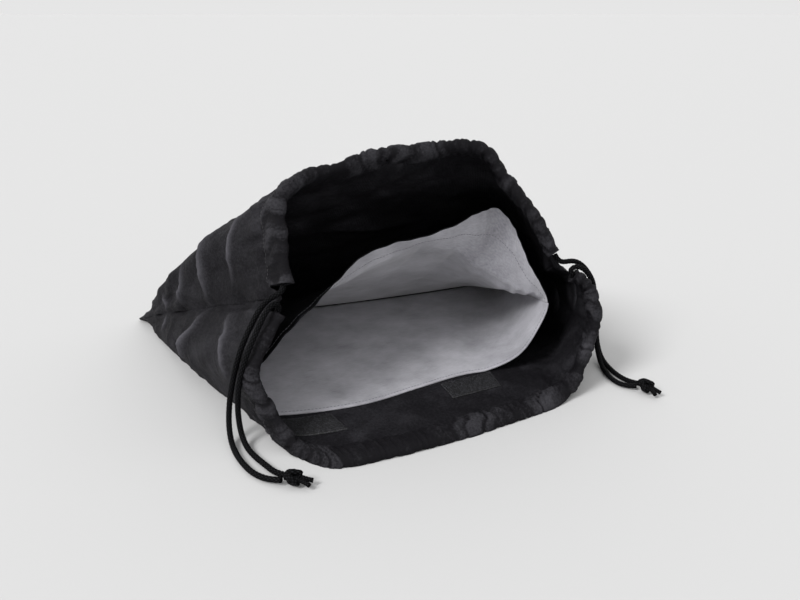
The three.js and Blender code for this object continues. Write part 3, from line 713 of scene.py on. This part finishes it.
# Outside and inside of its section: across from the lip, depth, and how far gathers move it
hem_section = [
    (1.00, 0.00, 0.0), (0.90, 0.00, 0.35), (0.78, 0.00, 0.6), (0.62, 0.00, 0.8), (0.48, 0.00, 0.9),
    (0.34, 0.00, 1.0), (0.22, 0.00, 1.0), (0.12, 0.04, 0.9), (0.05, 0.14, 0.8), (0.01, 0.30, 0.6),
    (0.00, 0.48, 0.3), (0.01, 0.68, 0.0), (0.06, 0.86, -0.3), (0.14, 0.97, -0.5), (0.26, 1.00, -0.7),
    (0.42, 1.00, -0.8), (0.58, 1.00, -0.8), (0.74, 0.90, -0.6), (0.88, 0.55, -0.3),
]
channel_section = [
    (0.70, 0.25), (0.66, 0.12), (0.58, 0.02), (0.48, 0.0), (0.38, 0.0), (0.28, 0.0), (0.20, 0.04),
    (0.13, 0.14), (0.09, 0.32), (0.08, 0.5), (0.09, 0.68), (0.13, 0.86), (0.20, 0.96), (0.28, 1.0),
    (0.38, 1.0), (0.46, 1.0), (0.54, 1.0), (0.62, 0.93), (0.67, 0.84), (0.70, 0.62),
]


def gathers(row, across):
    """Height of the gathers: round bulges across the channel, with narrow creases between them."""
    length = lip_length(row) + 0.0045 * np.sin(across * 5.5 + 70 * lip_length(row))
    crease = np.clip(1 - 1.9 * np.abs(waves(length, bulge_pitch, 21)), 0, 1)
    fine = np.clip(1 - 1.9 * np.abs(waves(length, tuck_pitch, 22)), 0, 1)
    drawn = 0.78 + 0.22 * waves(length, drawing_pitch, 23)
    return gather_height * drawn * (1 - 0.80 * crease ** 1.3 - 0.40 * fine ** 1.5)


def hem_half(name, start, end, out, count):
    """Half of the channel as one closed tube of cloth."""
    row = np.linspace(start + out, end - out, count)
    share = hem_width / bag_length
    outer = []
    for across, deep, fold in hem_section:
        height = gathers(row, across)
        depth = deep * hem_thickness - fold * height
        outer.append(bag_point(row, np.array(across * share), depth))
    outer.append(bag_point(row, np.array(share), np.array(cloth_wall)))
    inner = []
    for across, through in channel_section:
        depth = np.array(hem_wall + through * (hem_thickness - 2 * hem_wall))
        inner.append(bag_point(row, np.array(across * share), depth))
    outer = np.stack(outer, 1)
    inner = np.stack(inner, 1)
    outer[..., 2] = np.maximum(outer[..., 2], 0)
    sides = outer.shape[1]
    back = count * sides
    faces = ring_faces(count, sides) + [face[::-1] for face in ring_faces(count, sides, back)]
    last = (count - 1) * sides
    for k in range(sides):
        step = (k + 1) % sides
        faces.append((k, back + k, back + step, step))
        faces.append((last + step, back + last + step, back + last + k, last + k))
    girth = girth_step * np.arange(sides)
    places = np.stack(np.broadcast_arrays(lip_length(row)[:, None], girth[None, :]), -1).reshape(-1, 2)
    points = np.vstack((outer.reshape(-1, 3), inner.reshape(-1, 3)))
    hem = mesh_piece(name, points, faces, np.vstack((places, places)))
    # Painted light and shade on the gathers: paler on their bulges, darker in the creases between them.
    painted_bulge_shading = [0.36 * (gathers(row, across) / gather_height - 0.6) for across, _, _ in hem_section]
    painted_bulge_shading = np.stack(painted_bulge_shading + [np.zeros(count)], 1).ravel()
    point_values(hem, "painted_crest_shading", np.append(painted_bulge_shading, np.zeros(len(points) - len(painted_bulge_shading))))
    return hem


hem_finish = coated_polyester("gathered_black_polyester", "#131215", "#66656b", 0.45)
hem_halves = {"hem_lower": (0, 14, exit_below, 760), "hem_upper": (14, 24, exit_above, 620)}
for name, (start, end, out, count) in hem_halves.items():
    hem = hem_half(name + "_cloth", start, end, out, count)
    hem.data.materials.append(hem_finish)
    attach(hem, "root")
    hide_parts(name)
for name in ("channel_cord_lower", "channel_cord_upper"):
    cord_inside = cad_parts[name]
    cord_inside.data.materials.clear()
    cord_inside.data.materials.append(cord_finish)

# Stitching of the shell
# Lock stitches in bonded black thread, one every 3.2 mm, along the channel's stitched edge.
thread_radius = 0.00028
stitch_length = 0.0024
stitch_pitch = 0.0032
stitch_inset = 0.0022
stitch_lift = 0.00015


def stitch_tree():
    """Stitches along a curve: a small rounded bar at every pitch, turned along the curve."""
    tree = bpy.data.node_groups.new("stitches", "GeometryNodeTree")
    sockets = (("Curve", "NodeSocketGeometry"), ("Pitch", "NodeSocketFloat"),
               ("Stitch length", "NodeSocketFloat"), ("Thread radius", "NodeSocketFloat"),
               ("Thread", "NodeSocketMaterial"))
    for name, kind in sockets:
        tree.interface.new_socket(name, in_out="INPUT", socket_type=kind)
    tree.interface.new_socket("Stitches", in_out="OUTPUT", socket_type="NodeSocketGeometry")
    given = tree.nodes.new("NodeGroupInput").outputs
    spaced = add_node(tree, "GeometryNodeResampleCurve", {"mode": "LENGTH"}, Curve=given["Curve"],
                      Length=given["Pitch"])
    bar = add_node(tree, "GeometryNodeMeshUVSphere", Segments=6, Rings=5, Radius=given["Thread radius"])
    half = add_node(tree, "ShaderNodeMath", {"operation": "MULTIPLY"}, i0=given["Stitch length"], i1=0.5)
    stretch = add_node(tree, "ShaderNodeMath", {"operation": "DIVIDE"}, i0=half.outputs[0],
                       i1=given["Thread radius"])
    size = add_node(tree, "ShaderNodeCombineXYZ", X=1.0, Y=1.0, Z=stretch.outputs[0])
    tangent = add_node(tree, "GeometryNodeInputTangent")
    turn = add_node(tree, "FunctionNodeAlignRotationToVector", {"axis": "Z"}, Vector=tangent.outputs[0])
    placed = add_node(tree, "GeometryNodeInstanceOnPoints", Points=spaced.outputs[0],
                      Instance=bar.outputs[0], Rotation=turn.outputs[0], Scale=size.outputs[0])
    real = add_node(tree, "GeometryNodeRealizeInstances", Geometry=placed.outputs[0])
    smooth = add_node(tree, "GeometryNodeSetShadeSmooth", Geometry=real.outputs[0])
    dressed = add_node(tree, "GeometryNodeSetMaterial", Geometry=smooth.outputs[0],
                       Material=given["Thread"])
    result = tree.nodes.new("NodeGroupOutput")
    tree.links.new(dressed.outputs[0], result.inputs[0])
    return tree


stitches = stitch_tree()


def stitched(name, lines, thread):
    """Rows of stitches along lines of points, as one mesh."""
    curve = bpy.data.curves.new(name, "CURVE")
    curve.dimensions = "3D"
    for line in lines:
        spline = curve.splines.new("POLY")
        spline.points.add(len(line) - 1)
        spline.points.foreach_set("co", np.hstack((line, np.ones((len(line), 1)))).ravel())
    drawn = bpy.data.objects.new(name + "_line", curve)
    scene.collection.objects.link(drawn)
    modifier = drawn.modifiers.new("stitches", "NODES")
    modifier.node_group = stitches
    values = {"Pitch": stitch_pitch, "Stitch length": stitch_length, "Thread radius": thread_radius,
              "Thread": thread}
    for item in stitches.interface.items_tree:
        if item.in_out == "INPUT" and item.name in values:
            modifier[item.identifier] = values[item.name]
    depsgraph = bpy.context.evaluated_depsgraph_get()
    mesh = bpy.data.meshes.new_from_object(drawn.evaluated_get(depsgraph))
    bpy.data.objects.remove(drawn)
    piece = bpy.data.objects.new(name, mesh)
    scene.collection.objects.link(piece)
    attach(piece, "root")
    return piece


def sewing_thread(name, colour):
    """Bonded polyester thread: round, smooth and a little glossier than the cloth."""
    material, tree, shader = new_material(name)
    place = add_node(tree, "ShaderNodeTexCoord").outputs["Object"]
    twist = add_node(tree, "ShaderNodeTexNoise", Vector=place, Scale=3200.0, Detail=2.0)
    bump = add_node(tree, "ShaderNodeBump", Strength=0.4, Distance=0.0001, Height=twist.outputs[0])
    tree.links.new(bump.outputs[0], shader.inputs["Normal"])
    shader.inputs["Base Color"].default_value = to_linear(colour)
    shader.inputs["Roughness"].default_value = 0.45
    return material


black_thread = sewing_thread("bonded_black_thread", "#2b2a2e")
hem_lines = []
for start, end, out, _ in hem_halves.values():
    row = np.linspace(start + out, end - out, 500)
    share = (hem_width - stitch_inset) / bag_length
    height = gathers(row, 0.9)
    line = bag_point(row, np.array(share), -0.42 * height - stitch_lift)
    line[:, 2] = np.maximum(line[:, 2], 0.0005)
    hem_lines.append(line)
hem_stitches = stitched("hem_stitches", hem_lines, black_thread)

# The inner pouch
# A flat pocket of grey brushed tricot, sewn in at the bottom seam. Its lower layer lies on the
# lower panel. The upper one has a black back and edge, and a flap that stands at the right.
pouch_wall = 0.0012
pouch_row_step = 0.022
drape_height = 0.0032
drape_pitch = 0.075
soft_crease_height = 0.0018
edge_height = 0.0007
edge_pitch = 0.021
pouch_end = 0.945
# x, y and z of the lip, its foot, and the drop and place of the fold behind it
pouch_rows = [
    (-0.333, 0.227, 0.150, -0.440, 0.000, 0.06),
    (-0.311, 0.190, 0.060, -0.435, 0.000, 0.06),
    (-0.282, 0.170, 0.000, -0.420, 0.000, 0.06),
    (-0.200, 0.152, 0.000, -0.330, 0.000, 0.06),
    (-0.107, 0.155, 0.000, -0.200, 0.000, 0.06),
    (0.007, 0.194, 0.000, 0.000, 0.000, 0.06),
    (0.111, 0.227, 0.000, 0.200, 0.000, 0.06),
    (0.182, 0.225, 0.010, 0.330, 0.000, 0.06),
    (0.238, 0.212, 0.068, 0.410, 0.000, 0.06),
    (0.280, 0.224, 0.155, 0.430, 0.000, 0.06),
    (0.313, 0.245, 0.267, 0.440, 0.000, 0.06),
    (0.300, 0.262, 0.350, 0.434, 0.050, 0.06),
    (0.282, 0.285, 0.430, 0.430, 0.130, 0.07),
    (0.263, 0.312, 0.540, 0.415, 0.230, 0.08),
    (0.247, 0.338, 0.625, 0.390, 0.290, 0.08),
    (0.218, 0.352, 0.674, 0.330, 0.300, 0.08),
    (0.187, 0.350, 0.665, 0.260, 0.250, 0.08),
    (0.133, 0.338, 0.630, 0.150, 0.100, 0.07),
    (0.056, 0.328, 0.588, 0.020, 0.020, 0.06),
    (-0.010, 0.326, 0.575, -0.080, 0.055, 0.05),
    (-0.086, 0.316, 0.530, -0.190, 0.075, 0.05),
    (-0.142, 0.295, 0.450, -0.270, 0.020, 0.05),
    (-0.190, 0.274, 0.375, -0.340, 0.000, 0.06),
    (-0.249, 0.252, 0.290, -0.400, 0.000, 0.06),
    (-0.300, 0.235, 0.190, -0.432, 0.000, 0.06),
]
pouch = make_shell(pouch_rows, cloth_wall + seam_gap, pouch_end, pouch_wall + seam_fold, 10)


def pouch_point(row, station, depth):
    """Points of the pouch's cloth. Behind its fold the divider runs down to the bottom seam."""
    row, station, depth = np.broadcast_arrays(row, station, depth)
    inward = inward_at(pouch, row, station)
    lip = lip_at(pouch, row) + inward * depth[..., None]
    point = lip + (foot_at(pouch, row, depth) - lip) * station[..., None]
    back = column(pouch, 5, row)
    slope = np.where(station < back, station / back, (1 - station) / (1 - back))
    slope = slope - 0.10 * np.exp(-((station - back) / 0.03) ** 2)
    point[..., 2] -= column(pouch, 4, row) * mouth_rise * slope
    drape = np.sin(np.pi * np.clip(station, 0, 1)) ** 0.7
    upper = np.clip(np.minimum(row - 10.6, 24.4 - row) / 1.2, 0, 1)
    length = row * pouch_row_step
    crumpled = crumple(length, station * 0.25, 0.07, 32)
    soft = drape_height * waves(length, drape_pitch, 31) + soft_crease_height * (crumpled - 0.35)
    edge = edge_height * waves(length, edge_pitch, 33) * np.exp(-(station / 0.05) ** 2)
    point = point - inward * (upper * (soft * drape + edge))[..., None]
    return laid_down(point, inward, depth, pouch["floor"])


def pouch_layer(name, start, end, rows, count, crowding):
    """One layer of the pouch, from its lip to its bottom seam."""
    row = (start + (end - start) * np.linspace(0, 1, rows))[:, None]
    station = (np.linspace(0, 1, count) ** crowding)[None, :]
    row, station = np.broadcast_arrays(row, station)
    faces = []
    for depth in (0.0, pouch_wall):
        points = pouch_point(row, station, np.array(depth))
        points[0] = seam_shift(pouch, row[0], station[0], points[0], 0.5 * seam_gap)
        points[-1] = seam_shift(pouch, row[-1], station[-1], points[-1], -0.5 * seam_gap)
        faces.append(points)
    places = np.stack((row * pouch_row_step, station * bag_length), -1).reshape(-1, 2)
    return sheet_piece(name, faces[0], faces[1], places)


def brushed_tricot(name, dark, light):
    """Warp-knitted polyester with a brushed face: pale grey, matt, with a short soft nap."""
    material, tree, shader = new_material(name)
    cloth = add_node(tree, "ShaderNodeUVMap", {"uv_map": "cloth"}).outputs[0]
    place = add_node(tree, "ShaderNodeTexCoord").outputs["Object"]
    nap = add_node(tree, "ShaderNodeTexNoise", Vector=place, Scale=1300.0, Detail=4.0, Roughness=0.7)
    brushed = add_node(tree, "ShaderNodeMapping", Vector=cloth)
    brushed.inputs["Scale"].default_value = (260.0, 1200.0, 1.0)
    strokes = add_node(tree, "ShaderNodeTexNoise", Vector=brushed.outputs[0], Scale=1.0, Detail=3.0)
    patches = add_node(tree, "ShaderNodeTexNoise", Vector=place, Scale=26.0, Detail=5.0, Roughness=0.6)
    mixed = weighted(tree, strokes.outputs[0], 0.5, patches.outputs[0])
    tree.links.new(two_tone(tree, mixed, 0.45, dark, 1.0, light), shader.inputs["Base Color"])
    fine = add_node(tree, "ShaderNodeBump", Strength=0.4, Distance=0.0003, Height=nap.outputs[0])
    soft = add_node(tree, "ShaderNodeBump", Strength=0.35, Distance=0.0012, Height=patches.outputs[0],
                    Normal=fine.outputs[0])
    tree.links.new(soft.outputs[0], shader.inputs["Normal"])
    shader.inputs["Roughness"].default_value = 0.85
    shader.inputs["Sheen Weight"].default_value = 0.35
    shader.inputs["Sheen Roughness"].default_value = 0.6
    return material


lining_finish = brushed_tricot("brushed_grey_tricot", "#74737a", "#b4b3ba")
divider_back = coated_polyester("black_back_of_divider", "#0c0c0e", "#4c4b50")
pouch_layers = {"pouch_lower": (0, 10, 150, 70, 1.0), "pouch_upper": (10, 25, 260, 110, 1.4)}
for name, (start, end, rows, count, crowding) in pouch_layers.items():
    layer = pouch_layer(name + "_cloth", start, end, rows, count, crowding)
    layer.data.materials.append(lining_finish)
    if name == "pouch_upper":
        layer.data.materials.append(divider_back)
        quads = (rows - 1) * (count - 1)
        index = np.ones(len(layer.data.polygons), int)
        index[quads:2 * quads] = 0
        layer.data.polygons.foreach_set("material_index", index)
    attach(layer, "root")
    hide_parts(name)

grey_thread = sewing_thread("bonded_grey_thread", "#6c6c72")
above = np.array(pouch_wall + 0.0001)
edge = pouch_point(np.linspace(0.3, 9.7, 400), np.array(0.016), above)
divider_rows = np.linspace(10.3, 24.7, 500)
divider_in = pouch_point(divider_rows, np.array(0.03), above)
divider_out = pouch_point(divider_rows, np.array(0.022), np.array(-0.0001))
pouch_stitches = stitched("pouch_stitches", [edge, divider_in, divider_out], grey_thread)

# The hook strips
# Two pieces of black hook tape, sewn flat on the lower panel in front of the pouch. They close it
# against the divider.
hook_width = 0.046
hook_length = 0.029
hook_thickness = 0.0015
hook_places = {"hook_strip_left": (5.30, 0.235), "hook_strip_right": (8.02, 0.270)}
hook_pile_height = 0.0006
hook_stitch_inset = 0.0018


def lip_spacing(row):
    """Length of the lip from one row to the next."""
    return (lip_length(row + 0.1) - lip_length(row - 0.1)) / 0.2


def hook_grid(row, station, rows, count, inset=0.0):
    """Rows and stations of a strip, in from its edges by an inset."""
    half = (0.5 * hook_width - inset) / lip_spacing(row)
    front = station - (hook_length - inset) / bag_length
    across = np.linspace(row - half, row + half, rows)[:, None]
    along = np.linspace(front, station - inset / bag_length, count)[None, :]
    return np.broadcast_arrays(across, along)


def hook_strip(name, row, station):
    """A strip of tape with rounded edges and rows of hooks on its face."""
    rows, count = 47, 31
    base = cloth_wall + seam_gap
    across, along = hook_grid(row, station, rows, count)
    from_side = np.minimum(np.arange(rows), np.arange(rows)[::-1])[:, None]
    from_end = np.minimum(np.arange(count), np.arange(count)[::-1])[None, :]
    edge = np.minimum(from_side, from_end)
    pile = np.where(edge > 2, hook_pile_height * ((np.arange(count)[None, :] % 2) * 0.7 + 0.3), 0)
    rim = np.where(edge == 0, -0.35 * hook_thickness, 0)
    bottom = bag_point(across, along, np.array(base))
    top = bag_point(across, along, base + hook_thickness + pile + rim - hook_pile_height)
    places = np.stack(np.broadcast_arrays(
        np.linspace(0, hook_width, rows)[:, None], np.linspace(0, hook_length, count)[None, :]), -1)
    return sheet_piece(name, bottom, top, places.reshape(-1, 2))


def hook_tape(name):
    """Woven nylon tape with stiff bent hooks: black and dull, with a painted highlight speckled on each
    hook.
    """
    material, tree, shader = new_material(name)
    cloth = add_node(tree, "ShaderNodeUVMap", {"uv_map": "cloth"}).outputs[0]
    hooks = add_node(tree, "ShaderNodeTexVoronoi", Vector=cloth, Scale=900.0, Randomness=0.55)
    # Painted highlights: the colour turns paler near each cell's centre, where a hook catches the light.
    painted_highlight_colour = two_tone(tree, hooks.outputs["Distance"], 0.12, "#3e3e43", 0.55, "#070708")
    tree.links.new(painted_highlight_colour, shader.inputs["Base Color"])
    bump = add_node(tree, "ShaderNodeBump", {"invert": True}, Strength=0.9, Distance=0.0006,
                    Height=hooks.outputs["Distance"])
    tree.links.new(bump.outputs[0], shader.inputs["Normal"])
    shader.inputs["Roughness"].default_value = 0.6
    return material


hook_finish = hook_tape("black_nylon_hook_tape")
hook_lines = []
for name, (row, station) in hook_places.items():
    strip = hook_strip(name + "_tape", row, station)
    strip.data.materials.append(hook_finish)
    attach(strip, "root")
    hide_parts(name)
    across, along = hook_grid(row, station, 30, 20, hook_stitch_inset)
    loop = [(across[:, 0], along[:, 0]), (across[-1], along[-1]),
            (across[::-1, -1], along[::-1, -1]), (across[0, ::-1], along[0, ::-1])]
    top = cloth_wall + seam_gap + hook_thickness
    hook_lines.append(np.vstack([bag_point(a, b, np.array(top)) for a, b in loop]))
hook_stitches = stitched("hook_stitches", hook_lines, black_thread)

# The floor and the light
# A flat floor of pale paper and wide soft light from the upper left, the front and the back, as
# in a product studio.
floor_mesh = bpy.data.meshes.new("floor")
reach = 900.0
floor_mesh.from_pydata([(-reach, -reach, 0), (reach, -reach, 0), (reach, reach, 0), (-reach, reach, 0)],
                       [], [(0, 1, 2, 3)])
floor = bpy.data.objects.new("floor", floor_mesh)
floor.location = (0, 0, -0.0002)
scene.collection.objects.link(floor)


def paper_sweep(name):
    """Matt background paper, evenly pale."""
    material, tree, shader = new_material(name)
    place = add_node(tree, "ShaderNodeTexCoord").outputs["Object"]
    fibre = add_node(tree, "ShaderNodeTexNoise", Vector=place, Scale=400.0, Detail=2.0)
    bump = add_node(tree, "ShaderNodeBump", Strength=0.05, Distance=0.0002, Height=fibre.outputs[0])
    tree.links.new(bump.outputs[0], shader.inputs["Normal"])
    shader.inputs["Base Color"].default_value = to_linear("#bfbfbf")
    shader.inputs["Roughness"].default_value = 0.9
    shader.inputs["Specular IOR Level"].default_value = 0.1
    return material


floor_mesh.materials.append(paper_sweep("pale_background_paper"))
world = bpy.data.worlds.new("studio")
world.use_nodes = True
background = world.node_tree.nodes["Background"]
background.inputs["Color"].default_value = to_linear("#e6e6e6")
background.inputs["Strength"].default_value = 1.0
scene.world = world
scene.view_settings.view_transform = "Standard"
soft_lights = {
    "key": ((-0.85, -0.30, 0.85), 22.0, 2.6),
    "fill": ((-0.10, -1.00, 0.55), 60.0, 0.45),
    "back": ((0.40, 0.90, 0.90), 60.0, 0.4),
}
for name, (place, spread, power) in soft_lights.items():
    light = bpy.data.lights.new(name, "SUN")
    light.angle = math.radians(spread)
    light.energy = power
    lamp = bpy.data.objects.new(name, light)
    lamp.location = place
    lamp.rotation_euler = (-Vector(place)).to_track_quat("-Z", "Y").to_euler()
    scene.collection.objects.link(lamp)
